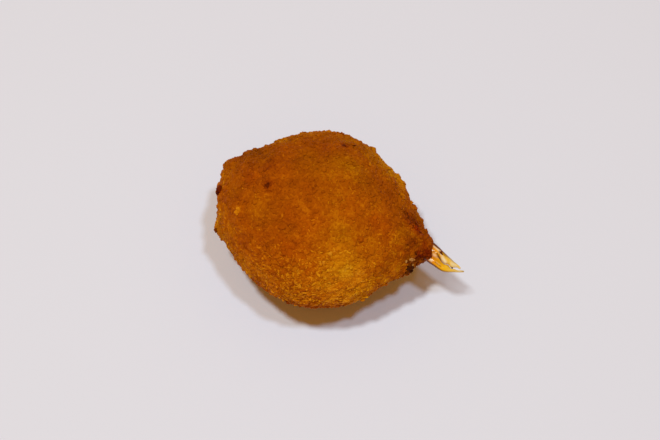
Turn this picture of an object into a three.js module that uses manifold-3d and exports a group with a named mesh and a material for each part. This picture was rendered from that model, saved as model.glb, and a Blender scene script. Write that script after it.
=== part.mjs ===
// Breaded crab claw: seafood paste pressed round the roots of a crab's pincer, rolled in fine crumb
// and deep-fried. The two shell fingers of the pincer stand out of the narrow end of the crust.
// Millimetres, +Z up. +X runs along the pincer. The shapes are worked out about the crust's axis,
// and the whole is then moved so that the origin is on the table, under the middle of its box.
import * as THREE from "three";
import { mergeVertices } from "three/addons/utils/BufferGeometryUtils.js";
import { SimplexNoise } from "three/addons/math/SimplexNoise.js";
import Module from "manifold-3d";

// Driving sizes of the crust
const CRUST_LENGTH = 53.8;
const CRUST_MIDDLE = 0.1; // where the middle of that length lies along X
const HALF_WIDTH = 21.5;
const HALF_HEIGHT = 17.4;
const AXIS_HEIGHT = 16.9; // above the table, so 0.5 mm of the belly is pressed flat
const BUTT_POWER = 1.62; // seen from above, the butt end is more pointed than an ellipse, of power 2
const TAPER = 0.67; // share of the girth lost on the way to the neck
const TAPER_POWER = 1.86;
const NECK_HALF_WIDTH = 3;
const NECK_HALF_HEIGHT = 2.3;
const NECK_BLUNTNESS = 0.25; // power of the ring by which the neck closes: the lower, the blunter
const NECK_BEND = 2.15; // the neck lies this far to +Y of the axis
const BEND_POWER = 3;
const JOIN_POWER = 4; // of the mean that joins the body to the neck: the higher, the sharper
const CRUST_DETAIL = 15;

// Driving sizes of the crumb coat
const SWELL_HEIGHT = 0.3;
const SWELL_SPAN = 8;
const GRAIN_HEIGHT = 0.42;
const GRAIN_SPAN = 2.1;
const GRAIN_JITTER = 0.75;
const CALM_ENDS = 2; // the jitter fades within 1 / 2 of a radius of the axis, where facets are small
const CRUMB_COUNT = 64;
const CRUMB_RADIUS = [0.8, 1.3];
const SUNK_SHARE = 0.62;

// Driving sizes of the pincer
const FINGER_ROOT = 17.5;
const MOVABLE_TIP = 34.85;
const FIXED_TIP = 35.85;
const FINGER_GAP = 0.34;
const POCKET_CLEARANCE = 0.3;
const SHELL_LEVEL = 0.3; // height of the fingers' middle above the axis, where they leave the crust
const SHELL_DROOP = 0.1; // fall of that middle for each millimetre towards the tips
const SHELL_CURL = 0.025; // the further fall past the mouth, times the square of the distance
const CRUST_MOUTH = 27; // where the fingers leave the crust

// Where the middle of the whole part's box lies, from the crust's axis
const BOX_MIDDLE_X = 4.25;
const BOX_MIDDLE_Y = 0.33;

const wasm = await Module();
wasm.setup();

// Repeatable draws between 0 and 1, by a linear congruential rule
let seed = 20417;
function draw() {
  seed = (seed * 1664525 + 1013904223) % 4294967296;
  return seed / 4294967296;
}
const between = (low, high) => low + (high - low) * draw();
const noise = new SimplexNoise({ random: draw });

// Turns a closed mesh whose corners are merged into a solid, and a solid back into a geometry
function weld(geometry) {
  geometry.deleteAttribute("normal");
  geometry.deleteAttribute("uv");
  return mergeVertices(geometry, 1e-4);
}

function solidOf(geometry) {
  const mesh = new wasm.Mesh({
    numProp: 3,
    vertProperties: new Float32Array(geometry.attributes.position.array),
    triVerts: new Uint32Array(geometry.index.array),
  });
  return new wasm.Manifold(mesh);
}

function geometryOf(solid) {
  const mesh = solid.getMesh();
  const geometry = new THREE.BufferGeometry();
  geometry.setAttribute("position", new THREE.BufferAttribute(mesh.vertProperties, 3));
  geometry.setIndex(new THREE.BufferAttribute(mesh.triVerts, 1));
  geometry.computeVertexNormals();
  return geometry;
}

// Moves every corner of a welded geometry to where a function puts it
function reshape(geometry, place) {
  const corners = geometry.attributes.position;
  const corner = new THREE.Vector3();
  for (let i = 0; i < corners.count; i += 1) {
    const moved = place(corner.fromBufferAttribute(corners, i));
    corners.setXYZ(i, moved.x, moved.y, moved.z);
  }
  return geometry;
}

// Broad swellings and hollows left by the hand that pressed the paste: the direction each faces
// from the crust's middle, its height, and the angle in degrees over which it dies away
const LOBES = [
  { name: "butt shoulder", toward: [-0.86, 0.46, 0.2], height: 0.8, spread: 20 },
  { name: "butt corner", toward: [-0.74, -0.64, -0.15], height: 0.3, spread: 25 },
  { name: "far flank", toward: [-0.3, 0.9, 0.3], height: 1.6, spread: 24 },
  { name: "far cheek", toward: [0.55, 0.8, 0.2], height: 1.05, spread: 25 },
  { name: "near cheek", toward: [0.62, -0.74, -0.2], height: 0.8, spread: 25 },
  { name: "shoulder edge", toward: [-0.93, 0.32, 0.2], height: 1.25, spread: 8 },
  { name: "butt hollow", toward: [-0.96, -0.28, 0.01], height: -1.55, spread: 8 },
  { name: "butt nub", toward: [-0.83, -0.56, -0.08], height: 0.95, spread: 6 },
].map((lobe) => ({ ...lobe, toward: new THREE.Vector3(...lobe.toward).normalize() }));

// The smooth form of the crust: the point of its surface that a direction from its middle meets
function crustForm(direction) {
  const toButt = -direction.x;
  const x = CRUST_MIDDLE - (CRUST_LENGTH / 2) * toButt;
  const power = toButt > 0 ? BUTT_POWER : 2;
  const ringAcross = Math.max(1 - Math.abs(toButt) ** power, 0) ** (1 / power);
  const ringUpright = Math.sqrt(Math.max(1 - toButt ** 2, 0));
  const reach = Math.max(x, 0) / (CRUST_MIDDLE + CRUST_LENGTH / 2);
  const girth = 1 - TAPER * reach ** TAPER_POWER;
  const neck = x > 0 ? ringUpright ** NECK_BLUNTNESS : 0;
  const joined = (body, sleeve) => (body ** JOIN_POWER + sleeve ** JOIN_POWER) ** (1 / JOIN_POWER);
  const radiusY = joined(HALF_WIDTH * ringAcross * girth, NECK_HALF_WIDTH * neck);
  const radiusZ = joined(HALF_HEIGHT * ringUpright * girth, NECK_HALF_HEIGHT * neck);
  const around = Math.atan2(direction.z, direction.y);
  const point = new THREE.Vector3(
    x,
    radiusY * Math.cos(around) + NECK_BEND * reach ** BEND_POWER,
    radiusZ * Math.sin(around),
  );
  for (const lobe of LOBES) {
    const angle = THREE.MathUtils.radToDeg(direction.angleTo(lobe.toward));
    point.addScaledVector(direction, lobe.height * Math.exp(-((angle / lobe.spread) ** 2)));
  }
  return point;
}

// The crust with its crumb relief, pressed flat where it rests
function crumbed(direction) {
  const point = crustForm(direction);
  const swell = noise.noise3d(point.x / SWELL_SPAN, point.y / SWELL_SPAN, point.z / SWELL_SPAN);
  const grain = noise.noise3d(point.x / GRAIN_SPAN, point.y / GRAIN_SPAN, point.z / GRAIN_SPAN);
  const offAxis = Math.hypot(direction.y, direction.z);
  const jitter = GRAIN_JITTER * (draw() - 0.5) * Math.min(CALM_ENDS * offAxis, 1);
  point.addScaledVector(direction, SWELL_HEIGHT * swell + GRAIN_HEIGHT * grain + jitter);
  point.z = Math.max(point.z, -AXIS_HEIGHT);
  return point;
}

// A hard angular crumb of the given radius, partly sunk in the surface that a direction meets
function crumb(direction, radius) {
  const middle = crustForm(direction).addScaledVector(direction, radius * (1 - 2 * SUNK_SHARE));
  const turn = new THREE.Euler(between(0, Math.PI), between(0, Math.PI), between(0, Math.PI));
  const shape = new THREE.Matrix4().compose(
    middle,
    new THREE.Quaternion().setFromEuler(turn),
    new THREE.Vector3(between(0.8, 1.3), between(0.8, 1.1), between(0.7, 1)).multiplyScalar(radius),
  );
  return weld(new THREE.IcosahedronGeometry(1, 0)).applyMatrix4(shape);
}

// Crumbs spread evenly over the crust by the golden angle, clear of the flat spot and the neck
function scatteredCrumbs() {
  const GOLDEN_ANGLE = Math.PI * (3 - Math.sqrt(5));
  const CLEAR_OF_TABLE = 4;
  const CLEAR_OF_MOUTH = 5;
  const crumbs = [];
  for (let i = 0; i < CRUMB_COUNT; i += 1) {
    const along = 1 - (2 * (i + draw())) / CRUMB_COUNT;
    const turn = i * GOLDEN_ANGLE + between(-0.3, 0.3);
    const ring = Math.sqrt(1 - along ** 2);
    const direction = new THREE.Vector3(along, ring * Math.cos(turn), ring * Math.sin(turn));
    const radius = between(...CRUMB_RADIUS);
    const point = crustForm(direction);
    if (point.z > CLEAR_OF_TABLE - AXIS_HEIGHT && point.x < CRUST_MOUTH - CLEAR_OF_MOUTH) {
      crumbs.push(crumb(direction, radius));
    }
  }
  return crumbs;
}

// Larger crumbs that stand out by themselves: one on the butt end, and a burnt clot by the neck
const SINGLE_CRUMBS = [
  { toward: [-0.95, -0.15, 0.26], radius: 1.0 },
  { toward: [0.85, -0.45, 0.26], radius: 0.9 },
  { toward: [0.86, -0.49, 0.06], radius: 1.1 },
  { toward: [0.87, -0.48, -0.13], radius: 0.9 },
];

// The pincer's fingers lie side by side in one sheet that droops and curls down. Each is told by its
// outer edge and by the toothed line where the two meet, seen from above.
function shellLevel(x) {
  const past = Math.max(x - CRUST_MOUTH, 0);
  return SHELL_LEVEL - SHELL_DROOP * (x - CRUST_MOUTH) - SHELL_CURL * past ** 2;
}

// The line rises at a tooth of the fixed finger and falls at a tooth of the movable one. Between
// the teeth the fingers don't quite meet, and the last opening lies between their hooked tips.
const TEETH = [
  { at: 29.1, size: 0.4, half: 0.5 },
  { at: 31, size: -0.4, half: 0.6 },
  { at: 32.8, size: -0.55, half: 0.7 },
];
const OPENINGS = [
  { at: 28.3, size: 0.3, half: 0.45 },
  { at: 30.2, size: 0.35, half: 0.6 },
  { at: 34.1, size: 0.5, half: 0.8 },
];

// A bell curve for each tooth or opening, and their sum
const bell = (row, x) => row.size * Math.exp(-(((x - row.at) / row.half) ** 2));
const bells = (rows, x) => rows.reduce((sum, row) => sum + bell(row, x), 0);

function biteLine(x) {
  const START = 1.35;
  const SLOPE = -0.115;
  const ROOT_CURVE = 0.02;
  const TIP_CURVE = 0.008;
  const past = x - CRUST_MOUTH;
  const curve = past < 0 ? ROOT_CURVE : TIP_CURVE;
  return START + SLOPE * past + curve * past ** 2 + bells(TEETH, x);
}

const halfGap = (x) => (FINGER_GAP + bells(OPENINGS, x)) / 2;

// The height of an outline over x, from a smooth curve through a few points of it
function outlineThrough(points) {
  const curve = new THREE.CatmullRomCurve3(points.map(([x, y]) => new THREE.Vector3(x, y, 0)));
  const SAMPLES = 80;
  const samples = curve.getPoints(SAMPLES);
  return (x) => {
    let i = 1;
    while (i < samples.length - 1 && samples[i].x < x) i += 1;
    const share = (x - samples[i - 1].x) / (samples[i].x - samples[i - 1].x);
    return THREE.MathUtils.lerp(samples[i - 1].y, samples[i].y, share);
  };
}

const movableOuter = outlineThrough([[17, 6.0], [22.5, 6.1], [27.2, 4.55], [31, 3.0], [35.2, 1.8]]);
const fixedOuter = outlineThrough([
  [17, 1.3], [23.5, 0.6], [28.3, -0.85], [31.4, -1.3], [34.2, 0.1], [36.3, 1.2],
]);

// From here the fixed finger's inner edge hooks up past the other's tip, by this much a millimetre
const HOOK_START = 34.4;
const HOOK_SLOPE = 0.45;

const FINGERS = {
  movable_finger: {
    tip: MOVABLE_TIP,
    outer: movableOuter,
    inner: (x) => biteLine(x) + halfGap(x),
    halfThickness: [1.45, 0.6],
  },
  fixed_finger: {
    tip: FIXED_TIP,
    outer: fixedOuter,
    inner: (x) => biteLine(x) - halfGap(x) + HOOK_SLOPE * Math.max(x - HOOK_START, 0),
    halfThickness: [1.3, 0.55],
  },
};

// One finger from a sphere: its poles become the root and the tip, and each ring becomes a rounded
// section between the finger's two edges. A margin grows it all round, to cut its pocket.
function fingerGeometry(finger, margin) {
  const ROUND_SIDES = 12;
  const STATIONS = 30;
  const BLUNTNESS = 0.35;
  const length = finger.tip - FINGER_ROOT + 2 * margin;
  const sphere = weld(new THREE.SphereGeometry(1, ROUND_SIDES, STATIONS));
  return reshape(sphere, (corner) => {
    const share = (1 + corner.y) / 2;
    const x = FINGER_ROOT - margin + share * length;
    const ring = Math.hypot(corner.x, corner.z);
    const closing = ring < 1e-6 ? 0 : ring ** BLUNTNESS / ring;
    const outer = finger.outer(x);
    const inner = finger.inner(x);
    const halfWidth = Math.abs(outer - inner) / 2 + margin;
    const halfThickness = THREE.MathUtils.lerp(...finger.halfThickness, share) + margin;
    return new THREE.Vector3(
      x,
      (outer + inner) / 2 + halfWidth * closing * corner.z,
      shellLevel(x) + halfThickness * closing * corner.x,
    );
  });
}

// A ragged notch in the near side of the crust's mouth, between the tongue of crust that lies over
// the pincer and the lip below it
const NOTCH = { middle: [25.9, -1.8, 0.5], halfSizes: [2.1, 1.4, 1.2] };

// The crust: crumbs joined to it, then pockets for the two fingers and the notch cut from it
function crustGeometry() {
  const ball = weld(new THREE.IcosahedronGeometry(1, CRUST_DETAIL));
  let crust = solidOf(reshape(ball, (corner) => crumbed(corner.normalize())));
  const singles = SINGLE_CRUMBS.map(({ toward, radius }) =>
    crumb(new THREE.Vector3(...toward).normalize(), radius));
  for (const piece of [...scatteredCrumbs(), ...singles]) crust = crust.add(solidOf(piece));
  for (const finger of Object.values(FINGERS)) {
    crust = crust.subtract(solidOf(fingerGeometry(finger, POCKET_CLEARANCE)));
  }
  const notch = weld(new THREE.IcosahedronGeometry(1, 1));
  notch.scale(...NOTCH.halfSizes).translate(...NOTCH.middle);
  return geometryOf(crust.subtract(solidOf(notch)));
}

const crustMaterial = new THREE.MeshStandardMaterial({ color: 0xa8540a, roughness: 0.85, metalness: 0 });
const shellMaterial = new THREE.MeshStandardMaterial({ color: 0xe08a20, roughness: 0.25, metalness: 0 });

const group = new THREE.Group();
group.position.set(-BOX_MIDDLE_X, -BOX_MIDDLE_Y, AXIS_HEIGHT);

const crust = new THREE.Mesh(crustGeometry(), crustMaterial);
crust.name = "crumb_crust";
group.add(crust);

for (const [name, finger] of Object.entries(FINGERS)) {
  const mesh = new THREE.Mesh(fingerGeometry(finger, 0), shellMaterial);
  mesh.name = name;
  group.add(mesh);
}

export default group;
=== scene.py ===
"""Breaded crab claw: a ball of seafood paste in a fried crumb crust, with the two shell fingers of a
crab's pincer standing out of its narrow end. Sizes are in millimetres until a mesh is made."""
import math

import bmesh
import bpy
import numpy as np
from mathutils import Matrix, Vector


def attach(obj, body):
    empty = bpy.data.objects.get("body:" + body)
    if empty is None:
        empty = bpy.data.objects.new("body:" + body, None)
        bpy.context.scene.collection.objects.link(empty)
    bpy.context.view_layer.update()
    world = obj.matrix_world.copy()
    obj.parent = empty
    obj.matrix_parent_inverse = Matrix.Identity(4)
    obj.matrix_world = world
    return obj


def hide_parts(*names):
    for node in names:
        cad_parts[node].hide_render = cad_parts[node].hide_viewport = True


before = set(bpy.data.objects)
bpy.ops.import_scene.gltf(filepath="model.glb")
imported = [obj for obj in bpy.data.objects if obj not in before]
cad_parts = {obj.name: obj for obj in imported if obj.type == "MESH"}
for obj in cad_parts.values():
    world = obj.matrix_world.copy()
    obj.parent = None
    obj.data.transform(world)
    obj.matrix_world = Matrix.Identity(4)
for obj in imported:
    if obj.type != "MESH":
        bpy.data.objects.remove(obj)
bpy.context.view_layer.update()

# The crust: seafood paste pressed by hand round the roots of the pincer, rolled in fine crumb and
# deep-fried. It is one pear-shaped body, blunt at the butt, drawn in to a neck that grips the shell,
# and pressed flat where it lies. Its skin is a continuous coat of small crumbs fried together.
MM = 0.001
AXIS = np.array([-4.25, -0.33, 16.9])  # the point that the crust is drawn about, in the frame
CRUST_LENGTH = 53.8
CRUST_MIDDLE = 0.1
HALF_WIDTH = 21.5
HALF_HEIGHT = 17.4
BUTT_POWER = 1.62
TAPER = 0.67
TAPER_POWER = 1.86
NECK_HALF_WIDTH = 3.0
NECK_HALF_HEIGHT = 2.3
NECK_BLUNTNESS = 0.25
NECK_BEND = 2.15
BEND_POWER = 3
JOIN_POWER = 4
GRID_STEPS = 128
# Broad swellings left by the hand: the direction each faces, its height, and its spread in degrees
LOBES = (
    ((-0.86, 0.46, 0.2), 0.8, 20),
    ((-0.74, -0.64, -0.15), 0.3, 25),
    ((-0.3, 0.9, 0.3), 1.6, 24),
    ((0.55, 0.8, 0.2), 1.05, 25),
    ((0.62, -0.74, -0.2), 0.8, 25),
    ((-0.93, 0.32, 0.2), 1.25, 8),
    ((-0.96, -0.28, 0.01), -1.55, 8),
    ((-0.83, -0.56, -0.08), 0.95, 6),
)
# Crags of several crumbs that stand out of the outline and nicks between them, told in the same way
CRAGS = (
    ((0.6, 0.78, 0.16), -0.6, 5),
    ((0.55, 0.8, 0.24), 0.5, 4),
    ((0.43, 0.86, 0.26), 0.35, 6),
    ((0.18, 0.93, 0.32), 0.7, 5),
    ((0.0, 0.95, 0.28), -0.5, 4),
    ((-0.2, 0.91, 0.37), 0.4, 8),
    ((-0.58, 0.71, 0.4), -0.6, 5),
    ((-0.79, 0.5, 0.34), 0.4, 4),
    ((-0.87, 0.4, 0.28), 0.1, 4),
    ((-0.95, 0.14, 0.17), -0.5, 5),
    ((-0.78, -0.61, -0.11), 0.2, 4),
    ((-0.66, -0.74, -0.13), -0.6, 4),
    ((-0.5, -0.84, -0.17), -0.3, 9),
    ((-0.27, -0.93, -0.23), -0.4, 5),
    ((-0.04, -0.95, -0.3), -1.5, 9),
    ((0.2, -0.9, -0.38), -1.1, 7),
    ((0.4, -0.86, -0.31), -0.5, 4),
    ((0.59, -0.76, -0.29), -1.2, 5),
    ((0.74, -0.63, -0.2), -2.3, 6),
    ((0.86, -0.46, -0.22), 0.5, 3),
    ((0.14, -0.98, -0.13), -0.35, 13),
    ((0.68, -0.61, -0.4), -0.5, 8),
)
# The mouth round the shell: where each fold of crust is, how it is drawn, and how wide it is
MOUTH_FOLDS = (
    ((26.6, 4.4, 1.0), (-0.2, 0.5, 0.1), 1.4),
    ((27.0, 0.9, 1.3), (0.6, -1.1, -0.1), 1.0),
    ((25.0, -1.6, 0.9), (-2.4, 1.2, -0.5), 1.3),
    ((25.2, -2.4, -1.0), (-0.8, 1.1, 0.4), 1.4),
)


def cube_ball(steps):
    """Directions over a ball, and squares that join them: six grids on the faces of a cube, with
    lines at even angles (the tangent of the angle is the place on the face), welded at the edges.
    Also gives each square's four corners on a flat map of three by two grids."""
    a, b = np.meshgrid(np.arange(steps + 1), np.arange(steps + 1), indexing="ij")
    low, high = np.zeros_like(a), np.full_like(a, steps)
    sheets = ((high, a, b), (low, b, a), (b, high, a), (a, low, b), (a, b, high), (b, a, low))
    lattice = np.concatenate([np.stack(sheet, -1).reshape(-1, 3) for sheet in sheets])
    keys = (lattice[:, 0] * (steps + 1) + lattice[:, 1]) * (steps + 1) + lattice[:, 2]
    _, first, welded = np.unique(keys, return_index=True, return_inverse=True)
    rays = np.tan((lattice[first] / steps - 0.5) * math.pi / 2)
    rays /= np.linalg.norm(rays, axis=1, keepdims=True)
    corner = (a[:-1, :-1] * (steps + 1) + b[:-1, :-1]).reshape(-1, 1)
    square = corner + np.array([0, steps + 1, steps + 2, 1])
    per_sheet = (steps + 1) ** 2
    squares = np.concatenate([welded[square + sheet * per_sheet] for sheet in range(6)])
    margin = 0.01
    share = margin + (1 - 2 * margin) * np.stack([a, b], -1).reshape(-1, 2)[square] / steps
    flat = np.concatenate([(share + (sheet % 3, sheet // 3)) / (3, 2) for sheet in range(6)])
    return rays, squares, flat.reshape(-1, 2)


def crust_form(rays):
    """The smooth body. The ray's X gives the place along the axis, a cosine from butt to neck. The
    half-width and half-height there are a rounded curve of that place, less the taper, joined by a
    fourth-power mean to the neck's radius. Lobes and crags push it out along the ray as bell curves
    of the angle, and the folds of the mouth pull it as bell curves of the distance."""
    to_butt = -rays[:, 0]
    x = CRUST_MIDDLE - CRUST_LENGTH / 2 * to_butt
    power = np.where(to_butt > 0, BUTT_POWER, 2.0)
    across = np.clip(1 - np.abs(to_butt) ** power, 0, 1) ** (1 / power)
    upright = np.sqrt(np.clip(1 - to_butt**2, 0, 1))
    reach = np.clip(x, 0, None) / (CRUST_MIDDLE + CRUST_LENGTH / 2)
    girth = 1 - TAPER * reach**TAPER_POWER
    neck = np.where(x > 0, upright**NECK_BLUNTNESS, 0)
    power = JOIN_POWER
    radius_y = ((HALF_WIDTH * across * girth) ** power + (NECK_HALF_WIDTH * neck) ** power) ** (1 / power)
    radius_z = ((HALF_HEIGHT * upright * girth) ** power + (NECK_HALF_HEIGHT * neck) ** power) ** (1 / power)
    around = np.arctan2(rays[:, 2], rays[:, 1])
    y = radius_y * np.cos(around) + NECK_BEND * reach**BEND_POWER
    points = np.stack([x, y, radius_z * np.sin(around)], -1)
    for toward, height, spread in LOBES + CRAGS:
        toward = np.array(toward) / np.linalg.norm(toward)
        angle = np.degrees(np.arccos(np.clip(rays @ toward, -1, 1)))
        points += (height * np.exp(-((angle / spread) ** 2)))[:, None] * rays
    for centre, pull, width in MOUTH_FOLDS:
        gap = np.linalg.norm(points - centre, axis=1) / width
        points += np.exp(-(gap**2))[:, None] * np.array(pull)
    return points


def lattice_draws(cells, salt):
    """A repeatable number from 0 to 1 for each whole-numbered cell: its three indices times large
    odd numbers, mixed with the salt and scrambled by shifts and products."""
    x, y, z = np.moveaxis(cells.astype(np.int64), -1, 0)
    mixed = (x * 73856093) ^ (y * 19349663) ^ (z * 83492791) ^ (salt * 2654435761)
    mixed &= 0xFFFFFFFF
    for _ in range(2):
        mixed = ((mixed ^ (mixed >> 16)) * 0x45D9F3B) & 0xFFFFFFFF
    return (mixed ^ (mixed >> 16)) / 0xFFFFFFFF


def smooth_noise(points, span, salt):
    """Soft noise from -1 to 1: draws at the corners of a lattice of the given span, blended between
    them along each axis by the curve 3t squared less 2t cubed."""
    place = points / span
    cell = np.floor(place)
    t = place - cell
    t = t * t * (3 - 2 * t)
    total = np.zeros(len(points))
    for corner in np.ndindex(2, 2, 2):
        weight = np.prod(np.where(corner, t, 1 - t), axis=1)
        total += weight * lattice_draws(cell + corner, salt)
    return 2 * total - 1


def mottling(points, rows):
    """Soft noise of several spans added up, from rows of amount, span and salt."""
    return sum(amount * smooth_noise(points, span, salt) for amount, span, salt in rows)


CRUMB_LEAST = 0.45  # the smallest crumb's radius and the greatest, as shares of its cell
CRUMB_MOST = 0.8


def crumb_domes(points, cell, salt):
    """Crumbs lying side by side: each cell of a lattice holds one ball of random place and radius.
    The height is the tallest cap above the point, from 0 to 1, and the second result is that
    ball's own draw."""
    base = np.floor(points / cell)
    height, tone = np.zeros(len(points)), np.zeros(len(points))
    for corner in np.ndindex(3, 3, 3):
        near = base + corner - 1
        place = np.stack([lattice_draws(near, salt + k) for k in range(3)], -1)
        radius = cell * (CRUMB_LEAST + (CRUMB_MOST - CRUMB_LEAST) * lattice_draws(near, salt + 3))
        gap = np.linalg.norm(points - (near + place) * cell, axis=1) / radius
        cap = np.sqrt(np.clip(1 - gap**2, 0, 1)) * radius / (CRUMB_MOST * cell)
        taller = cap > height
        height = np.where(taller, cap, height)
        tone = np.where(taller, lattice_draws(near, salt + 4), tone)
    return height, tone


def outward(points, squares):
    """The outward direction at each point: the sum of its squares' crossed diagonals, made unit."""
    a, b, c, d = (points[squares[:, k]] for k in range(4))
    crossed = np.cross(c - a, d - b)
    total = np.zeros_like(points)
    for k in range(4):
        np.add.at(total, squares[:, k], crossed)
    return total / np.linalg.norm(total, axis=1, keepdims=True)


def bell(points, centre, widths):
    """1 at the centre, dying away as a bell curve with its own width along each axis."""
    return np.exp(-(((points - centre) / widths) ** 2).sum(1))


# Where the oil has browned the crust more (above 0) or less, and painted shade in the hollow under the
# mouth's fold: centre, width along each axis, amount
FRIED_AND_SHADED_PATCHES = (
    ((10.5, -12.5, 11.0), (8, 6, 7), -0.17),
    ((9.0, -5.0, 15.0), (6, 4, 4), -0.05),
    ((13.0, -15.0, 3.0), (8, 6, 7), -0.16),
    ((11.0, -13.2, 8.2), (3.2, 1.6, 1.7), -0.2),
    ((6.9, -14.3, 10.8), (3, 3, 3), -0.06),
    ((19.3, -9.3, 0.8), (4, 4, 4), -0.06),
    ((-2.0, -19.5, 2.0), (14, 4, 7), -0.04),
    ((2.0, -19.5, -3.0), (15, 5, 6), 0.13),
    ((26.0, 0.0, 0.0), (1.5, 1.5, 1.5), 0.08),
    ((-11.0, -18.3, 0.5), (7, 3, 4), -0.06),
    ((-24.0, -8.0, 2.0), (5, 5, 6), -0.08),
    ((3.2, 10.6, 14.8), (5, 4, 4), -0.04),
    ((0.0, 13.0, 13.0), (16, 8, 8), 0.08),
    ((-2.0, 19.0, 6.0), (12, 3, 6), -0.06),
    ((-16.0, 14.0, 7.0), (8, 3.5, 5), -0.08),
    ((-5.5, 0.5, 17.2), (7, 6, 5), 0.07),
    ((-22.5, -3.9, 8.5), (4, 5, 5), 0.13),
    ((-6.7, -14.6, 11.6), (3.5, 3.5, 3.5), 0.07),
    ((-18.0, 6.0, 12.0), (7, 7, 6), 0.12),
    ((-23.0, 8.0, 7.0), (5, 4, 5), 0.12),
    ((17.0, 4.0, 9.0), (4, 6, 5), 0.05),
    ((-8.5, 6.8, 15.5), (6, 5, 4), 0.04),
    ((-4.7, -7.2, 16.1), (3.2, 2.6, 3), 0.05),
    ((20.2, 6.2, 5.9), (2.4, 2.4, 2.6), 0.22),
    ((22.8, 5.0, 3.9), (1.6, 1.6, 1.8), 0.14),
    ((12.5, 15.5, 7.0), (9, 4, 6), -0.09),
    # painted shade: the hollow under the fold at the mouth, darkened where shade falls
    ((24.1, -1.0, 3.1), (0.9, 0.8, 0.8), 0.28),
    ((24.7, -0.7, 2.0), (0.9, 0.8, 1.0), 0.24),
    ((25.5, -0.2, 1.1), (1.2, 0.6, 0.8), 0.28),
    ((26.0, 2.2, 2.2), (1.6, 2.6, 1.6), 0.14),
    ((24.9, -1.6, -0.3), (1.0, 0.8, 0.8), -0.12),
    ((14.8, 15.0, 5.2), (1.5, 1.6, 2.2), -0.14),
    ((11.3, 17.0, 5.5), (1.3, 1.5, 2.2), -0.12),
    ((14.4, 10.8, 8.0), (1.6, 2.6, 1.8), 0.1),
    ((-12.6, -1.4, 15.3), (1.0, 1.2, 1.5), 0.3),
    ((0.0, 15.8, 12.3), (1.0, 1.2, 1.2), 0.3),
    ((7.1, 5.3, 15.3), (0.8, 0.8, 1.0), 0.12),
    ((-17.7, -8.0, 10.7), (0.9, 0.7, 0.8), -0.26),
    ((6.5, -11.7, 13.0), (0.7, 0.6, 0.8), -0.2),
)
# Where it is more red (below 0) or more olive: centre, width along each axis, amount; the strong red at the
# mouth's hollow is part of its painted shade
HUE_PATCHES = (
    ((-4.7, -7.2, 16.1), (3.2, 2.6, 3), -0.25),
    ((-12.6, -1.4, 15.3), (1.2, 1.5, 2), -0.3),
    ((0.0, 15.8, 12.3), (1.5, 1.5, 1.8), -0.4),
    ((22.5, 5.0, 4.3), (1.6, 1.4, 2), -0.32),
    ((20.4, 5.8, 5.9), (1.8, 1.8, 2), -0.25),
    # painted shade: the mouth's hollow, made deep red where shade falls
    ((24.7, -0.6, 2.1), (2.2, 0.9, 1.6), -1.0),
    ((26.2, 2.4, 2.2), (2.0, 3.0, 2.2), -0.3),
    ((11.0, -13.0, 8.4), (4, 2.5, 2.5), 0.35),
    ((-25.2, -2.4, 4.8), (1.6, 1.6, 1.6), -0.5),
    ((-3.0, -16.5, 9.0), (7, 4, 5), -0.08),
    ((20.0, 1.4, 7.3), (1.8, 1.6, 2), 0.4),
    ((3.2, 10.6, 14.8), (4, 3, 3), 0.4),
    ((8.0, -17.0, 5.0), (9, 5, 6), 0.05),
    ((11.0, 16.5, 7.0), (9, 5, 6), 0.5),
    ((-17.0, 7.5, 11.0), (5, 4, 4), 0.3),
    ((-16.0, 14.0, 7.0), (8, 4, 6), 0.35),
    ((-4.0, 17.5, 8.0), (11, 4, 6), 0.4),
)


def painted(points, patches):
    """The bell curves of a list of patches, each times its amount, added up."""
    return sum(amount * bell(points, centre, widths) for centre, widths, amount in patches)


BELLY_MIDDLE = 4
BELLY_HALF_LENGTH = 17
BELLY_TOP = -2  # what Y and a share of Z come to at the upper edge of the low near side
HEIGHT_SHARE = 0.9
BELLY_FADE = 3


def near_and_low(points):
    """1 low on the near side of the belly, where pale crumb lies thickest: an S curve of Y and Z
    across it, and a bell curve of X along it."""
    low = 1 / (1 + np.exp((points[:, 1] + HEIGHT_SHARE * points[:, 2] - BELLY_TOP) / BELLY_FADE))
    return low * np.exp(-(((points[:, 0] - BELLY_MIDDLE) / BELLY_HALF_LENGTH) ** 2))


BELT_HALF_HEIGHT = 0.55


def belt(normals):
    """1 where the crust faces level, at the belt, which is painted paler as light on the sides, dying away
    as a bell curve of the upward share of its outward direction."""
    return np.exp(-((normals[:, 2] / BELT_HALF_HEIGHT) ** 2))


def along_neck(points, start, length):
    """0 up to a place along the axis, and 1 from the given length past it."""
    return np.clip((points[:, 0] - start) / length, 0, 1)


# The browning: its middle, its mottling all over, low on the near side, at the belt and round the
# neck, how much paler the belt is painted, a painted lift of light on the sides that face level, how much
# browner the neck, and where the neck starts and over what length it grows full
MIDDLE_BROWN = 0.51
BROWN_MOTTLES = ((0.05, 11, 71), (0.045, 4.6, 72), (0.04, 2.4, 73))
LOW_MOTTLES = ((0.12, 1.8, 75),)
BELT_MOTTLES = ((0.08, 1.5, 76),)
NECK_MOTTLES = ((0.2, 1.3, 74),)
# painted light: how much paler the belt is, where the crust faces level
BELT_PAINTED_LIGHT = 0.11
NECK_BROWN = 0.16
NECK_SPAN = (14, 9)
NECK_GROWTH = 1.2
# The hue: its middle, its mottling all over and round the neck, and how much more olive the belt is
MIDDLE_HUE = 0.5
HUE_MOTTLES = ((0.2, 7, 81), (0.18, 3.4, 82))
NECK_HUE_MOTTLES = ((0.4, 1.2, 83),)
NECK_HUE_SPAN = (17, 5)
BELT_OLIVE = 0.35


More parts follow.
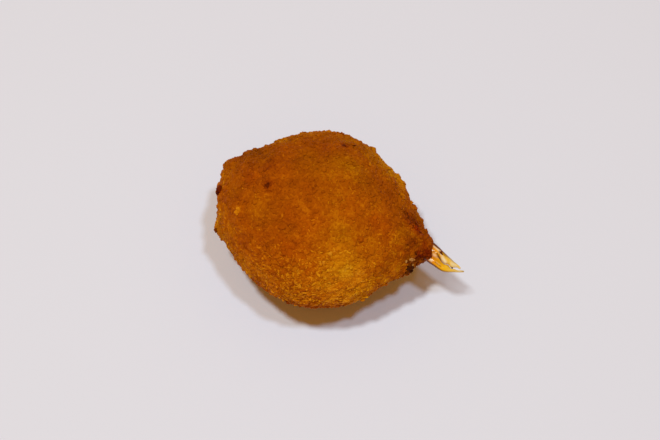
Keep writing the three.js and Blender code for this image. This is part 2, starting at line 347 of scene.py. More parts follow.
def browning_at(points, normals):
    """How far the crust is fried, from 0, pale gold, to 1, burnt: the middle, the mottling and the
    patches, some of them painted shade, less the belt's painted light, plus the neck's brown, which grows as
    a power of the place."""
    low, level = near_and_low(points), belt(normals)
    brown = MIDDLE_BROWN + mottling(points, BROWN_MOTTLES) + painted(points, FRIED_AND_SHADED_PATCHES)
    brown += low * mottling(points, LOW_MOTTLES)
    brown += (1 - low) * level * mottling(points, BELT_MOTTLES) - BELT_PAINTED_LIGHT * level
    neck = along_neck(points, *NECK_SPAN) ** NECK_GROWTH
    return brown + neck * (NECK_BROWN + mottling(points, NECK_MOTTLES))


def hue_at(points, normals):
    """Which way the brown leans, from 0, red, to 1, olive: the middle, the mottling, the patches,
    and more olive at the belt, but for its near side."""
    drift = mottling(points, HUE_MOTTLES) + painted(points, HUE_PATCHES)
    drift += BELT_OLIVE * belt(normals) * (1 - near_and_low(points))
    drift += along_neck(points, *NECK_HUE_SPAN) * mottling(points, NECK_HUE_MOTTLES)
    return np.clip(MIDDLE_HUE + drift, 0, 1)


# The unevenness that the hand leaves: how high, over what span, and the salt
SWELLS = ((0.25, 8, 5), (0.25, 3.1, 6), (0.28, 1.7, 7))
# How the crumbs' places wander off their lattices, along X, Y and Z
WANDERS = tuple(((0.5, 1.3, salt),) for salt in (91, 92, 93))
# The coat's three layers of crumb: each one's cell, salt and height, the share of the height that
# the gaps between crumbs are filled to, and its part in the pits, which are painted browner as shade between
# the crumbs
CRUMB_LAYERS = (
    (1.9, 11, 0.18, 0.3, 0),
    (1.15, 23, 0.3, 0.3, 1),
    (0.75, 37, 0.26, 0.15, 1),
)
RELIEF_MIDDLE = 0.45
CRAGGINESS = (0.68, 0.72)  # the relief's share all over, and how much more low on the near side
PIT_SHADE = (0.03, 0.1)  # painted shade: how much browner the pits between crumbs are all over, and how much more low on the near side
CRUMB_TONES = 0.08  # how far each crumb's own browning differs
PALEST_COAT = 0.22

rays, squares, flat_map = cube_ball(GRID_STEPS)
smooth_body = crust_form(rays)
facing = outward(smooth_body, squares)
belly = near_and_low(smooth_body)
crumbled = smooth_body + np.stack([mottling(smooth_body, rows) for rows in WANDERS], -1)
relief, pits, tones = -RELIEF_MIDDLE, 1, 0
for cell, salt, height, filled, pit in CRUMB_LAYERS:
    domes, tone = crumb_domes(crumbled, cell, salt)
    relief = relief + height * np.maximum(domes, filled)
    pits = pits - pit * domes
    tones = tones + tone - 0.5
raised = mottling(smooth_body, SWELLS) + (CRAGGINESS[0] + CRAGGINESS[1] * belly) * relief
crust_points = smooth_body + raised[:, None] * facing
crust_points[:, 2] = np.maximum(crust_points[:, 2], -AXIS[2])
crust_browning = browning_at(crust_points, facing) + (PIT_SHADE[0] + PIT_SHADE[1] * belly) * pits
crust_browning = np.maximum(crust_browning + CRUMB_TONES * tones, PALEST_COAT)
crust_looks = [("browning", crust_browning), ("hue", hue_at(crust_points, facing))]


def make_piece(name, points, faces, smooth, values=(), flat=None):
    """A mesh object in metres at the frame's origin, from points in millimetres about the crust's
    axis and rows of corner numbers, with named numbers for each point and a flat map if given."""
    mesh = bpy.data.meshes.new(name)
    sides = faces.shape[1]
    mesh.vertices.add(len(points))
    mesh.vertices.foreach_set("co", ((points + AXIS) * MM).astype(np.float32).ravel())
    mesh.loops.add(faces.size)
    mesh.loops.foreach_set("vertex_index", faces.astype(np.int32).ravel())
    mesh.polygons.add(len(faces))
    mesh.polygons.foreach_set("loop_start", np.arange(0, faces.size, sides, dtype=np.int32))
    mesh.polygons.foreach_set("use_smooth", np.full(len(faces), smooth))
    for label, numbers in values:
        layer = mesh.attributes.new(label, "FLOAT", "POINT")
        layer.data.foreach_set("value", numbers.astype(np.float32))
    if flat is not None:
        mesh.uv_layers.new(name="OFBake").data.foreach_set("uv", flat.astype(np.float32).ravel())
    mesh.update(calc_edges=True)
    mesh.validate()
    piece = bpy.data.objects.new(name, mesh)
    bpy.context.scene.collection.objects.link(piece)
    return piece


def linear(red, green, blue):
    """A colour as light, from the 0 to 255 numbers of a screen."""
    shares = np.array([red, green, blue]) / 255
    light = np.where(shares <= 0.04045, shares / 12.92, ((shares + 0.055) / 1.055) ** 2.4)
    return (*light.tolist(), 1.0)


def fill_ramp(ramp, stops):
    """Sets a colour ramp's stops from rows of place and colour."""
    while len(ramp.elements) < len(stops):
        ramp.elements.new(0.5)
    for element, (place, colour) in zip(ramp.elements, stops):
        element.position, element.color = place, colour


# What the crumb turns through in the oil, and its tint from the red end of the hue to the olive end
FRIED_COLOURS = (
    (0.0, linear(196, 128, 76)),
    (0.14, linear(225, 146, 16)),
    (0.28, linear(207, 122, 7)),
    (0.5, linear(176, 87, 3)),
    (0.72, linear(141, 61, 3)),
    (0.88, linear(86, 32, 4)),
    (1.0, linear(34, 14, 7)),
)
HUE_TINTS = (
    (0.0, (1.0, 0.5, 0.7, 1.0)),
    (0.18, (1.0, 0.78, 0.8, 1.0)),
    (0.5, (0.95, 0.88, 1.0, 1.0)),
    (1.0, (0.9, 1.05, 0.7, 1.0)),
)
MOTTLE_SCALE = 650.0  # soft mottling and tiny grains, both as features in a metre
MOTTLE_DETAIL = 3.0
GRAIN_SCALE = 2200.0
CRUMB_ROUGHNESS = (0.5, 0.8)
GRAIN_DEPTH = 0.1
OIL_GLEAM = 0.04
OIL_TINT = linear(255, 190, 100)


def fried_crumb_group():
    """Colour, roughness and fine height of fried crumb from how far it is browned: the browning is
    shifted by soft mottling and by a draw for each tiny grain, looked up in the colours, and tinted
    by the hue."""
    group = bpy.data.node_groups.new("fried crumb", "ShaderNodeTree")
    sides = group.interface
    for name, value in (("Browning", 0.5), ("Hue", 0.5), ("Mottle", 0.12), ("Grain", 0.0)):
        sides.new_socket(name, in_out="INPUT", socket_type="NodeSocketFloat").default_value = value
    sides.new_socket("Color", in_out="OUTPUT", socket_type="NodeSocketColor")
    sides.new_socket("Roughness", in_out="OUTPUT", socket_type="NodeSocketFloat")
    sides.new_socket("Height", in_out="OUTPUT", socket_type="NodeSocketFloat")
    add, join = group.nodes.new, group.links.new
    given, result = add("NodeGroupInput"), add("NodeGroupOutput")
    place = add("ShaderNodeTexCoord")
    mottle = add("ShaderNodeTexNoise")
    mottle.inputs["Scale"].default_value = MOTTLE_SCALE
    mottle.inputs["Detail"].default_value = MOTTLE_DETAIL
    grain = add("ShaderNodeTexVoronoi")
    grain.inputs["Scale"].default_value = GRAIN_SCALE
    split = add("ShaderNodeSeparateColor")
    for texture in (mottle, grain):
        join(place.outputs["Object"], texture.inputs["Vector"])
    join(grain.outputs["Color"], split.inputs[0])

    def shifted(value, amount, base):
        """base + amount times (value less a half)"""
        centred, scaled = add("ShaderNodeMath"), add("ShaderNodeMath")
        centred.operation, scaled.operation = "SUBTRACT", "MULTIPLY_ADD"
        centred.inputs[1].default_value = 0.5
        join(value, centred.inputs[0])
        join(centred.outputs[0], scaled.inputs[0])
        join(amount, scaled.inputs[1])
        join(base, scaled.inputs[2])
        return scaled.outputs[0]

    mottled = shifted(mottle.outputs["Fac"], given.outputs["Mottle"], given.outputs["Browning"])
    grained = shifted(split.outputs[0], given.outputs["Grain"], mottled)
    fried, hue = add("ShaderNodeValToRGB"), add("ShaderNodeValToRGB")
    fill_ramp(fried.color_ramp, FRIED_COLOURS)
    fill_ramp(hue.color_ramp, HUE_TINTS)
    join(grained, fried.inputs[0])
    join(given.outputs["Hue"], hue.inputs[0])
    tinted = add("ShaderNodeVectorMath")
    tinted.operation = "MULTIPLY"
    join(fried.outputs["Color"], tinted.inputs[0])
    join(hue.outputs["Color"], tinted.inputs[1])
    join(tinted.outputs[0], result.inputs["Color"])
    rough = add("ShaderNodeMapRange")
    rough.inputs["To Min"].default_value = CRUMB_ROUGHNESS[0]
    rough.inputs["To Max"].default_value = CRUMB_ROUGHNESS[1]
    join(mottle.outputs["Fac"], rough.inputs["Value"])
    join(rough.outputs["Result"], result.inputs["Roughness"])
    join(grain.outputs["Distance"], result.inputs["Height"])
    return group


FRIED_CRUMB = fried_crumb_group()


def fried_material(name, mottle, grain, bump):
    """Fried crumb: the group's colour and roughness, its grain as a fine bump, and the dull golden
    gleam of oil on starch."""
    material = bpy.data.materials.new(name)
    material.use_nodes = True
    nodes, join = material.node_tree.nodes, material.node_tree.links.new
    skin = nodes["Principled BSDF"]
    look = nodes.new("ShaderNodeGroup")
    look.node_tree = FRIED_CRUMB
    for socket in ("Browning", "Hue"):
        measured = nodes.new("ShaderNodeAttribute")
        measured.attribute_name = socket.lower()
        join(measured.outputs["Fac"], look.inputs[socket])
    look.inputs["Mottle"].default_value = mottle
    look.inputs["Grain"].default_value = grain
    join(look.outputs["Color"], skin.inputs["Base Color"])
    join(look.outputs["Roughness"], skin.inputs["Roughness"])
    relief = nodes.new("ShaderNodeBump")
    relief.inputs["Strength"].default_value = bump
    relief.inputs["Distance"].default_value = GRAIN_DEPTH * MM
    join(look.outputs["Height"], relief.inputs["Height"])
    join(relief.outputs["Normal"], skin.inputs["Normal"])
    skin.inputs["Specular IOR Level"].default_value = OIL_GLEAM
    skin.inputs["Specular Tint"].default_value = OIL_TINT
    return material


crust = make_piece("crust_coat", crust_points, squares, True, crust_looks, flat_map)
crust.data.materials.append(fried_material("fried coat", mottle=0.16, grain=0.1, bump=0.5))
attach(crust, "root")
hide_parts("crumb_crust")

# Loose crumb: angular grains of fried breadcrumb that stand out of the coat, half sunk in it. Each
# kind is one piece: pale flakes low on the near side and over the neck, grains and clumps all over,
# bigger crags on the far side, and single ones, some of them burnt, at the butt and the mouth.
CRUMB_SALT = 4021
crumb_draw = np.random.default_rng(CRUMB_SALT)
# How far each corner of a crumb is drawn in or out, and how far each crumb is along X, Y and Z
CORNER_PULLS = (0.66, 1.3)
CRUMB_STRETCHES = (0.75, 1.25)


def crumb_ball(subdivisions):
    """The corners and triangles of a ball of radius 1, from a twenty-sided one cut finer."""
    ball = bmesh.new()
    bmesh.ops.create_icosphere(ball, subdivisions=subdivisions, radius=1.0)
    corners = np.array([vertex.co[:] for vertex in ball.verts])
    triangles = np.array([[vertex.index for vertex in face.verts] for face in ball.faces])
    ball.free()
    return corners, triangles


SHARD = crumb_ball(1)
CLUMP = crumb_ball(2)


def random_turns(count):
    """Turns spread evenly over all turns, as matrices, from unit four-part numbers."""
    q = crumb_draw.normal(size=(count, 4))
    w, x, y, z = (q / np.linalg.norm(q, axis=1, keepdims=True)).T
    rows = (
        (1 - 2 * (y * y + z * z), 2 * (x * y - w * z), 2 * (x * z + w * y)),
        (2 * (x * y + w * z), 1 - 2 * (x * x + z * z), 2 * (y * z - w * x)),
        (2 * (x * z - w * y), 2 * (y * z + w * x), 1 - 2 * (x * x + y * y)),
    )
    return np.moveaxis(np.array(rows), -1, 0)


def crumbs(form, middles, normals, radii, length, flatness):
    """Angular crumbs: each is a ball whose corners are drawn in or out, made longer one way and
    thinner the others, turned at random, then pressed along the crust's outward direction to the
    given share of its depth. Gives the points and the triangles."""
    corners, triangles = form
    count = len(middles)
    pulled = corners * crumb_draw.uniform(*CORNER_PULLS, (count, len(corners), 1))
    uneven = pulled * crumb_draw.uniform(*CRUMB_STRETCHES, (count, 1, 3))
    thinned = uneven * (length, 1 / length**0.5, 1 / length**0.5)
    turned = np.einsum("nij,nkj->nki", random_turns(count), thinned) * radii[:, None, None]
    depth = np.einsum("nki,ni->nk", turned, normals)
    turned -= ((1 - flatness) * depth)[..., None] * normals[:, None, :]
    points = (middles[:, None, :] + turned).reshape(-1, 3)
    points[:, 2] = np.maximum(points[:, 2], -AXIS[2])
    starts = np.arange(count) * len(corners)
    faces = (starts[:, None, None] + triangles).reshape(-1, 3)
    return points, faces


def scattered(count, share_of_place):
    """Places on the coat, drawn in proportion to the area of each square times its share, and the
    coat's outward direction there."""
    a, b, c, d = (crust_points[squares[:, k]] for k in range(4))
    area = np.linalg.norm(np.cross(c - a, d - b), axis=1) / 2
    weight = area * share_of_place((a + c) / 2)
    chosen = crumb_draw.choice(len(squares), count, p=weight / weight.sum())
    u, v = crumb_draw.random((2, count, 1))
    a, b, c, d = (crust_points[squares[chosen, k]] for k in range(4))
    place = (1 - u) * ((1 - v) * a + v * d) + u * ((1 - v) * b + v * c)
    return place, facing[squares[chosen, 0]]


# Bell curves over the mouth and over the neck: centre, and width along each axis
MOUTH = ((26, 2.5, 1.5), (1.5, 3.5, 2.0))
NECK_TOP = ((20.5, 0, 6), (4, 9, 6))
MOUTH_EXTRA = 8  # how many times as thick the crumb at the mouth is, over what lies all over
LOW_POWER = 1.6  # how sharply the pale flakes gather low on the near side
LOW_FEW = 0.014  # the share of the flakes, and of the crags, that strays from where they gather
FAR_FEW = 0.01
FAR_BELT = (5, 5)  # the height of the far side's crags over the axis, and half their spread
FAR_SIDE = (5, 2)  # the Y where they begin, and over what length they fade


def everywhere(points):
    """Even over the whole coat."""
    return np.ones(len(points))


def mostly_low(points):
    """Thickest low on the near side of the belly, and a few all over."""
    return LOW_FEW + near_and_low(points) ** LOW_POWER


def most_at_the_mouth(points):
    """Even over the body, and several times as thick round the shell."""
    return 1 + MOUTH_EXTRA * bell(points, *MOUTH)


def along_the_far_side(points):
    """Along the far side of the belt, where a few bigger crags stand out: a bell curve of the
    height, times an S curve of Y, and a few all over."""
    belt_share = np.exp(-(((points[:, 2] - FAR_BELT[0]) / FAR_BELT[1]) ** 2))
    return belt_share / (1 + np.exp(-(points[:, 1] - FAR_SIDE[0]) / FAR_SIDE[1])) + FAR_FEW


def round_the_neck(points):
    """Over the top of the neck, where the oil has left some flakes pale among the dark."""
    return bell(points, *NECK_TOP)


def add_crumbs(name, form, places, radii, shape, brown):
    """One piece of angular crumbs, each with its own browning."""
    middles, normals = places
    points, faces = crumbs(form, middles, normals, radii, *shape)
    each = len(form[0])
    looks = [("browning", np.repeat(brown, each)), ("hue", np.repeat(hue_at(middles, normals), each))]
    piece = make_piece(name, points, faces, False, looks)
    piece.data.materials.append(fried_material(name.replace("_", " "), mottle=0.12, grain=0.0, bump=0.0))
    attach(piece, "root")


PALEST_CRUMB = 0.14
SMALLNESS = 1.6  # the power of the draw for a radius: the higher, the more of them are small
CRUMB_SINKING = (-0.35, 0.2)  # how far each lies out of the coat, as shares of its radius
BROWN_SPREAD = 0.03
# Each kind: form, how many, radii, length and flatness, how much paler or browner, and where
CRUMB_KINDS = (
    ("golden_flakes", SHARD, 3200, (0.22, 0.46), (2.2, 0.5), -0.22, mostly_low),
    ("golden_crumbs", SHARD, 6000, (0.18, 0.36), (1.3, 0.6), -0.1, everywhere),
    ("amber_crumbs", SHARD, 9500, (0.22, 0.48), (1.3, 0.45), 0.0, everywhere),
    ("brown_crumbs", SHARD, 4500, (0.2, 0.42), (1.3, 0.45), 0.05, everywhere),
    ("crumb_clumps", CLUMP, 1600, (0.32, 0.7), (1.2, 0.64), 0.0, most_at_the_mouth),
    ("far_side_crags", CLUMP, 170, (0.5, 0.95), (1.4, 0.6), -0.02, along_the_far_side),
    ("neck_flakes", SHARD, 220, (0.2, 0.42), (1.8, 0.5), -0.17, round_the_neck),
)
for name, form, count, (least, most), shape, shift, share in CRUMB_KINDS:
    middles, normals = scattered(count, share)
    radii = least + (most - least) * crumb_draw.random(count) ** SMALLNESS
    middles = middles + (crumb_draw.uniform(*CRUMB_SINKING, count) * radii)[:, None] * normals
    brown = browning_at(middles, normals) + shift + crumb_draw.normal(0, BROWN_SPREAD, count)
    add_crumbs(name, form, (middles, normals), radii, shape, np.maximum(brown, PALEST_CRUMB))

# Crumbs that stand out by themselves: where each lies, its radius, and how far it is fried
SINGLE_CRUMBS = (
    ((-25.1, -2.3, 5.2), 0.9, 0.83),
    ((-25.4, -2.8, 4.8), 0.7, 0.9),
    ((-25.2, -1.9, 5.4), 0.65, 0.82),
    ((-23.2, -10.2, -0.2), 0.6, 0.78),
    ((-17.6, -7.9, 10.9), 0.65, 0.18),
    ((-17.8, -8.6, 10.5), 0.55, 0.22),
    ((23.1, -3.3, 3.1), 0.45, 0.84),
    ((23.6, -3.5, 1.6), 0.6, 0.86),
    ((23.3, -4.2, 1.3), 0.6, 0.93),
    ((23.9, -3.6, 0.6), 0.65, 0.9),
    ((24.1, -3.8, -0.5), 0.6, 0.95),
    ((23.5, -4.7, 0.0), 0.5, 0.85),
    ((23.7, -2.5, 3.0), 0.4, 0.0),
    ((24.1, -2.1, 2.4), 0.32, 0.04),
    ((23.4, -2.9, 3.5), 0.25, 0.02),
    ((22.7, -3.7, 3.6), 0.3, 0.0),
    ((6.7, -11.9, 13.0), 0.5, 0.125),
    ((24.2, -3.1, 1.5), 0.22, 0.0),
    ((26.1, 4.8, 1.5), 0.45, 0.84),
    ((24.4, 6.3, 1.5), 0.55, 0.66),
    ((22.3, 8.0, 1.8), 0.45, 0.5),
    ((29.4, 2.55, 1.1), 0.28, 0.78),
    ((29.7, 2.3, 1.05), 0.2, 0.8),
    ((33.0, 0.35, -0.6), 0.24, 0.9),
)
SINGLE_SHAPE = (1.2, 0.8)
middles, radii, brown = (np.array(column) for column in zip(*SINGLE_CRUMBS))
normals = middles / (3, 1, 1)  # about the outward direction of a body longer than it is wide
normals /= np.linalg.norm(normals, axis=1, keepdims=True)
add_crumbs("single_crumbs", CLUMP, (middles, normals), radii, SINGLE_SHAPE, brown)

# The pincer: two fingers of thin amber shell, glossy with oil, that lie side by side in one sheet
# that droops and curls down, with rounded teeth between them. The shorter one moved in life, the
# longer one is a spur of the hand. Their roots are held in the paste.
FINGER_ROOT = 17.5
MOVABLE_TIP = 34.85
FIXED_TIP = 35.85
FINGER_GAP = 0.01
CRUST_MOUTH = 27.0
SHELL_LEVEL = 0.3  # the sheet's height at the crust's mouth, its slope down there, and its curl past it
SHELL_DROOP = 0.1
SHELL_CURL = 0.025
SHELL_RIPPLES = ((0.07, 1.2, 61),)  # the shell's low bumps: how high, over what span, and the salt
SHELL_CLOSING = 0.35
FINGER_STATIONS = 200
FINGER_SIDES = 56
# On the line where the fingers meet: where each tooth or opening is, its size and half its length
TEETH = ((29.1, 0.4, 0.5), (31.0, -0.4, 0.6), (32.8, -0.55, 0.7))
OPENINGS = ((34.1, 0.5, 0.8),)
BITE_START = 1.35  # the line's Y and slope at the crust's mouth, and its bend inside and outside it
BITE_SLOPE = -0.115
ROOT_CURVE = 0.02
TIP_CURVE = 0.008
HOOK_START = 34.4
HOOK_SLOPE = 0.45
# The fingers' outer edges, as places (X, Y) that a smooth curve passes through
MOVABLE_OUTLINE = ((17, 6.0), (22.5, 6.1), (27.2, 4.55), (31, 3.0), (35.2, 1.8))
FIXED_OUTLINE = ((17, 1.3), (23.5, 0.6), (28.3, -0.85), (31.4, -1.3), (34.2, 0.1), (36.3, 1.2))
# Marks in the shell, with painted shade on the longer finger's root in the mouth's hollow and painted
# highlights where the lamps glint on the wet shell, each a streak between two places (X, Y) with its
# half-width and strength
DARK_MARKS_AND_SHADE = (
    ((29.0, 2.7), (29.7, 2.3), 0.28, 0.8),
    ((29.8, 2.5), (30.7, 2.3), 0.2, 0.5),
    ((27.0, 2.3), (28.2, 2.0), 0.2, 0.45),
    ((28.6, 2.0), (29.6, 1.3), 0.22, 0.85),
    ((29.6, 1.3), (30.1, 0.7), 0.2, 0.8),
    ((30.1, 0.7), (31.0, 0.45), 0.2, 0.8),
    ((28.8, -0.22), (30.4, -0.62), 0.13, 0.7),
    ((28.3, 0.5), (30.2, 0.0), 0.28, 0.28),
    ((31.7, 0.6), (32.4, 0.4), 0.3, 0.5),
    ((35.3, 1.3), (35.8, 1.1), 0.3, 0.4),
    # painted shade: the longer finger's root, darkened where the crust's fold shades it
    ((21.0, 0.9), (25.2, 0.1), 1.1, 0.85),
)
# painted highlights: pale streaks where the lamps glint on the oily shell
PAINTED_HIGHLIGHTS = (
    ((27.3, 3.45), (29.0, 2.8), 0.22, 0.8),
    ((27.9, 1.5), (28.8, 1.35), 0.28, 0.6),
    ((26.4, 0.05), (28.0, -0.25), 0.2, 0.8),
    ((30.1, 1.6), (31.1, 0.95), 0.4, 0.85),
    ((31.1, 2.7), (32.8, 2.0), 0.3, 0.5),
    ((32.6, 1.3), (33.6, 1.3), 0.4, 0.6),
    ((33.8, 0.9), (34.8, 1.0), 0.4, 0.9),
)


def curve_through(x, knots):
    """The smooth curve through a few points of an outline: between two of them, a cubic whose slope
    at each is that of the line joining its neighbours."""
    at, height = np.array(knots).T
    slope = np.gradient(height, at)
    i = np.clip(np.searchsorted(at, x) - 1, 0, len(at) - 2)
    step = at[i + 1] - at[i]
    t = np.clip((x - at[i]) / step, 0, 1)
    return (
        (2 * t**3 - 3 * t**2 + 1) * height[i]
        + (t**3 - 2 * t**2 + t) * step * slope[i]
        + (3 * t**2 - 2 * t**3) * height[i + 1]
        + (t**3 - t**2) * step * slope[i + 1]
    )


def bells(rows, x):
    """A bell curve for each row of place, size and half-length, added up."""
    return sum(size * np.exp(-(((x - at) / half) ** 2)) for at, size, half in rows)


def bite_line(x):
    """Where the two fingers meet: a line, bent towards roots and tips by its square, with a bell
    curve for each tooth."""
    past = x - CRUST_MOUTH
    bend = np.where(past < 0, ROOT_CURVE, TIP_CURVE) * past**2
    return BITE_START + BITE_SLOPE * past + bend + bells(TEETH, x)


def half_gap(x):
    """Half the space between the fingers: the gap, and a bell curve for each opening."""
    return (FINGER_GAP + bells(OPENINGS, x)) / 2


def movable_edges(x):
    """Outer and inner edge of the shorter finger."""
    return curve_through(x, MOVABLE_OUTLINE), bite_line(x) + half_gap(x)


def fixed_edges(x):
    """Outer and inner edge of the longer finger, whose tip hooks up past the other's."""
    inner = bite_line(x) - half_gap(x) + HOOK_SLOPE * np.clip(x - HOOK_START, 0, None)
    return curve_through(x, FIXED_OUTLINE), inner


def streaks(points, rows):
    """The strongest mark at each point seen from above: a bell curve of the distance from a line
    between two places, times the mark's strength."""
    strongest = np.zeros(len(points))
    for start, end, half, strength in rows:
        start, along = np.array(start), np.subtract(end, start)
        share = np.clip((points[:, :2] - start) @ along / (along @ along), 0, 1)
        gap = np.linalg.norm(points[:, :2] - start - share[:, None] * along, axis=1)
        strongest = np.maximum(strongest, strength * np.exp(-((gap / half) ** 2)))
    return strongest


def finger_surface(edges, tip, thickness):
    """A rounded bar between two edges: along it, the share from root to tip is a cosine, and the
    section is an oval that closes as a power of the sine at both ends, rippled up and down by soft
    noise. The rings at the two ends are one point each. Gives the points, the triangles, and for
    each point its share and how near it is to the outer edge, from -1 to 1."""
    stations, sides = FINGER_STATIONS, FINGER_SIDES
    turn = np.linspace(0, math.pi, stations + 1)
    around = np.arange(sides) * 2 * math.pi / sides
    turn, around = np.meshgrid(turn, around, indexing="ij")
    share = (1 - np.cos(turn)) / 2
    x = FINGER_ROOT + share * (tip - FINGER_ROOT)
    outer, inner = edges(x)
    closing = np.clip(np.sin(turn), 0, 1) ** SHELL_CLOSING
    y = (outer + inner) / 2 + (outer - inner) / 2 * closing * np.cos(around)
    depth = thickness[0] + (thickness[1] - thickness[0]) * share
    past = np.clip(x - CRUST_MOUTH, 0, None)
    level = SHELL_LEVEL - SHELL_DROOP * (x - CRUST_MOUTH) - SHELL_CURL * past**2
    z = level + depth * closing * np.sin(around)
    points = np.stack([x, y, z], -1).reshape(-1, 3)
    points[:, 2] += closing.ravel() * mottling(points, SHELL_RIPPLES)
    last = (stations - 1) * sides + 1
    kept = slice(sides - 1, sides + last)
    i, j = np.meshgrid(np.arange(stations), np.arange(sides), indexing="ij")
    k = (j + 1) % sides
    corners = [(i - 1) * sides + j, (i - 1) * sides + k, i * sides + k, i * sides + j]
    quads = np.clip(np.stack(corners, -1).reshape(-1, 4) + 1, 0, last)
    faces = np.concatenate([quads[:, (0, 1, 2)], quads[:, (0, 2, 3)]])
    whole = (faces[:, 0] != faces[:, 1]) & (faces[:, 1] != faces[:, 2])
    return points[kept], faces[whole], share.ravel()[kept], np.cos(around).ravel()[kept]


SHELL_COLOURS = (
    (0.44, linear(130, 44, 4)),
    (0.53, linear(206, 108, 10)),
    (0.61, linear(250, 158, 12)),
    (0.76, linear(255, 190, 18)),
    (0.93, linear(255, 212, 84)),
)
SHELL_DARK = linear(96, 26, 3)
# the colour of the painted highlights
SHELL_HIGHLIGHT_PAINT = linear(255, 236, 196)
SHELL_CLEARS = (0.6, 0.97, 0.96, 0.72)  # from and to along the finger, and how opaque it is at each
SHELL_GLOW = 0.35  # how much less opaque the shell is to the lamps, whose light soaks through it
DIMPLE_SCALE = 900.0  # the tiny dimples in it, as features in a metre, and their depth
DIMPLE_DEPTH = 0.25
DIMPLE_STRENGTH = 0.6
# The gloss of the shell and of the oil on it
SHELL_GLOSS = (
    ("Roughness", 0.2),
    ("IOR", 1.45),
    ("Specular Tint", linear(255, 236, 205)),
    ("Coat Weight", 0.25),
    ("Coat Roughness", 0.1),
)


def shell_material():
    """Oily crab shell, half clear: amber at the crust, golden along the finger and nearly clear at
    the tip, with darker marks and painted shade in it, painted highlights, and a dark rim along the outer
    edge."""
    material = bpy.data.materials.new("amber shell")
    material.use_nodes = True
    nodes, join = material.node_tree.nodes, material.node_tree.links.new
    skin = nodes["Principled BSDF"]

    def number(label):
        """The number of that name that each point of the shell carries."""
        node = nodes.new("ShaderNodeAttribute")
        node.attribute_name = label
        return node.outputs["Fac"]

    def blended(share, under, over):
        """The colour under, covered by the given share of the colour over."""
        node = nodes.new("ShaderNodeMix")
        node.data_type = "RGBA"
        join(share, node.inputs["Factor"])
        join(under, node.inputs[6])
        node.inputs[7].default_value = over
        return node.outputs[2]

    ramp = nodes.new("ShaderNodeValToRGB")
    fill_ramp(ramp.color_ramp, SHELL_COLOURS)
    along = number("along")
    join(along, ramp.inputs[0])
    # the painted highlights, laid over the shell's colour
    pale = blended(number("pale"), ramp.outputs["Color"], SHELL_HIGHLIGHT_PAINT)
    dark = blended(number("dark"), pale, SHELL_DARK)
    join(dark, skin.inputs["Base Color"])
    clear = nodes.new("ShaderNodeMapRange")
    for socket, value in zip(("From Min", "From Max", "To Min", "To Max"), SHELL_CLEARS):
        clear.inputs[socket].default_value = value
    join(along, clear.inputs["Value"])
    light_path, through = nodes.new("ShaderNodeLightPath"), nodes.new("ShaderNodeMath")
    through.operation = "MULTIPLY_ADD"
    through.inputs[1].default_value = -SHELL_GLOW
    join(light_path.outputs["Is Shadow Ray"], through.inputs[0])
    join(clear.outputs["Result"], through.inputs[2])
    join(through.outputs[0], skin.inputs["Alpha"])
    dimples = nodes.new("ShaderNodeTexNoise")
    dimples.inputs["Scale"].default_value = DIMPLE_SCALE
    place = nodes.new("ShaderNodeTexCoord")
    join(place.outputs["Object"], dimples.inputs["Vector"])
    relief = nodes.new("ShaderNodeBump")
    relief.inputs["Strength"].default_value = DIMPLE_STRENGTH
    relief.inputs["Distance"].default_value = DIMPLE_DEPTH * MM
    join(dimples.outputs["Fac"], relief.inputs["Height"])
    join(relief.outputs["Normal"], skin.inputs["Normal"])
    for socket, value in SHELL_GLOSS:
        skin.inputs[socket].default_value = value
    return material


# Each finger's edges, tip, half-thickness at root and tip, and the dark rim: where it starts and is
# full, from the finger's middle, 0, to its outer edge, 1
FINGERS = (
    ("movable_finger", movable_edges, MOVABLE_TIP, (1.45, 0.6), (0.3, 0.52)),
    ("fixed_finger", fixed_edges, FIXED_TIP, (1.3, 0.55), (0.76, 0.93)),
)
RIM_FADE = (0.98, 0.3)  # where along the finger the rim is gone, and over how much it fades
RIM_STRENGTH = 0.95
SHELL = shell_material()
for node, edges, tip, thickness, rim_span in FINGERS:
    points, faces, share, side = finger_surface(edges, tip, thickness)
    if node == "fixed_finger":
        faces = faces[:, ::-1]  # its outer edge is on the other side, which turns its faces over
    rim = np.clip((side - rim_span[0]) / (rim_span[1] - rim_span[0]), 0, 1)
    rim *= np.clip((RIM_FADE[0] - share) / RIM_FADE[1], 0, 1)
    # the dark marks carry the painted shade at the root, and the pale ones are painted highlights
    marks = (
        ("along", share),
        ("dark", np.maximum(streaks(points, DARK_MARKS_AND_SHADE), RIM_STRENGTH * rim)),
        ("pale", streaks(points, PAINTED_HIGHLIGHTS)),
    )
    piece = make_piece(node + "_shell", points, faces, True, marks)
    piece.data.materials.append(SHELL)
    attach(piece, "root")
    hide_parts(node)

# The table: a plain pale floor, two small lamps overhead and a little to each side, and warm soft
# light from all round. The camera looks down from the near side with a long lens.
PHOTO_WIDTH = 660
PHOTO_CENTRE = (330, 220)
CRUST_MIDDLE_SEEN = (-0.5, 0.7, 0)  # the middle of the crust as the camera sees it, and its pixel
CRUST_IN_PHOTO = (320.5, 221.0)
PIXELS_PER_MM = 4.16
CAMERA_TURN = math.radians(20.4)
CAMERA_RISE = math.radians(65)
LENS = 85
SENSOR = 36
FLOOR_HALF = 1.5
FLOOR_LOOK = (("Base Color", (0.787, 0.759, 0.852, 1)), ("Roughness", 0.9), ("Specular IOR Level", 0.1))

floor_mesh = bpy.data.meshes.new("floor")
floor_corners = [(x * FLOOR_HALF, y * FLOOR_HALF, 0) for x, y in ((-1, -1), (1, -1), (1, 1), (-1, 1))]
floor_mesh.from_pydata(floor_corners, [], [(0, 1, 2, 3)])
floor = bpy.data.objects.new("floor", floor_mesh)
bpy.context.scene.collection.objects.link(floor)
floor_finish = bpy.data.materials.new("pale floor")
floor_finish.use_nodes = True
for socket, value in FLOOR_LOOK:
    floor_finish.node_tree.nodes["Principled BSDF"].inputs[socket].default_value = value
floor_mesh.materials.append(floor_finish)

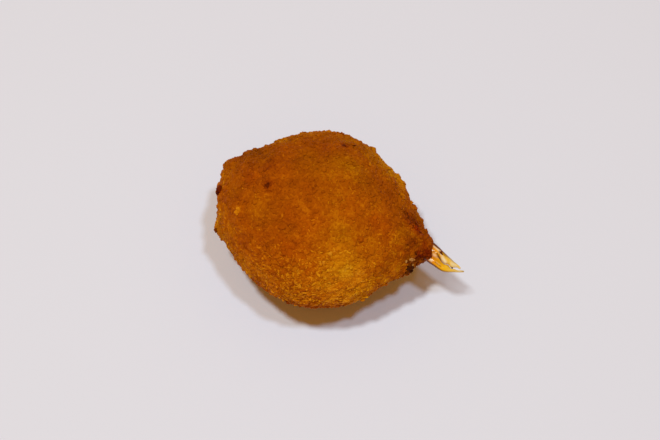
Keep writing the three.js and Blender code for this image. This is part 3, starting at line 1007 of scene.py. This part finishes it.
right = Vector((math.cos(CAMERA_TURN), math.sin(CAMERA_TURN), 0))
back = Vector((
    math.sin(CAMERA_TURN) * math.cos(CAMERA_RISE),
    -math.cos(CAMERA_TURN) * math.cos(CAMERA_RISE),
    math.sin(CAMERA_RISE),
))
up = back.cross(right)
toward_viewer = Vector((math.sin(CAMERA_TURN), -math.cos(CAMERA_TURN), 0))
middle = Vector(((AXIS + CRUST_MIDDLE_SEEN) * MM).tolist())
shift_right = (PHOTO_CENTRE[0] - CRUST_IN_PHOTO[0]) / PIXELS_PER_MM * MM
shift_up = (CRUST_IN_PHOTO[1] - PHOTO_CENTRE[1]) / PIXELS_PER_MM * MM
target = middle + right * shift_right + up * shift_up
distance = LENS / SENSOR * PHOTO_WIDTH / PIXELS_PER_MM * MM
camera_data = bpy.data.cameras.new("camera")
camera_data.lens = LENS
camera_data.sensor_width = SENSOR
camera = bpy.data.objects.new("camera", camera_data)
camera.location = target + back * distance
camera.rotation_euler = back.to_track_quat("Z", "Y").to_euler()
bpy.context.scene.collection.objects.link(camera)
bpy.context.scene.camera = camera

LAMP_DISTANCE = 0.9
LAMP_SIZE = 0.085
SOFT_LIGHT = (0.36, 0.195, 0.05, 1)
# Each lamp's lean from upright, in degrees, to the right and toward the viewer, its power and colour
LAMPS = (
    ("left lamp", -12.3, 3.4, 3.95, (0.83, 0.985, 1.0)),
    ("right lamp", 11.3, 5.3, 2.64, (0.6, 0.825, 1.0)),
)
for label, aside, forward, watts, colour in LAMPS:
    lamp_data = bpy.data.lights.new(label, "AREA")
    lamp_data.shape = "DISK"
    lamp_data.size = LAMP_SIZE
    lamp_data.energy = watts
    lamp_data.color = colour
    lamp = bpy.data.objects.new(label, lamp_data)
    lean = right * math.tan(math.radians(aside)) + toward_viewer * math.tan(math.radians(forward))
    direction = (Vector((0, 0, 1)) + lean).normalized()
    lamp.location = direction * LAMP_DISTANCE
    lamp.rotation_euler = direction.to_track_quat("Z", "Y").to_euler()
    bpy.context.scene.collection.objects.link(lamp)

world = bpy.data.worlds.new("soft light")
world.use_nodes = True
world.node_tree.nodes["Background"].inputs["Color"].default_value = SOFT_LIGHT
world.node_tree.nodes["Background"].inputs["Strength"].default_value = 1.0
bpy.context.scene.world = world
bpy.context.scene.view_settings.view_transform = "Standard"
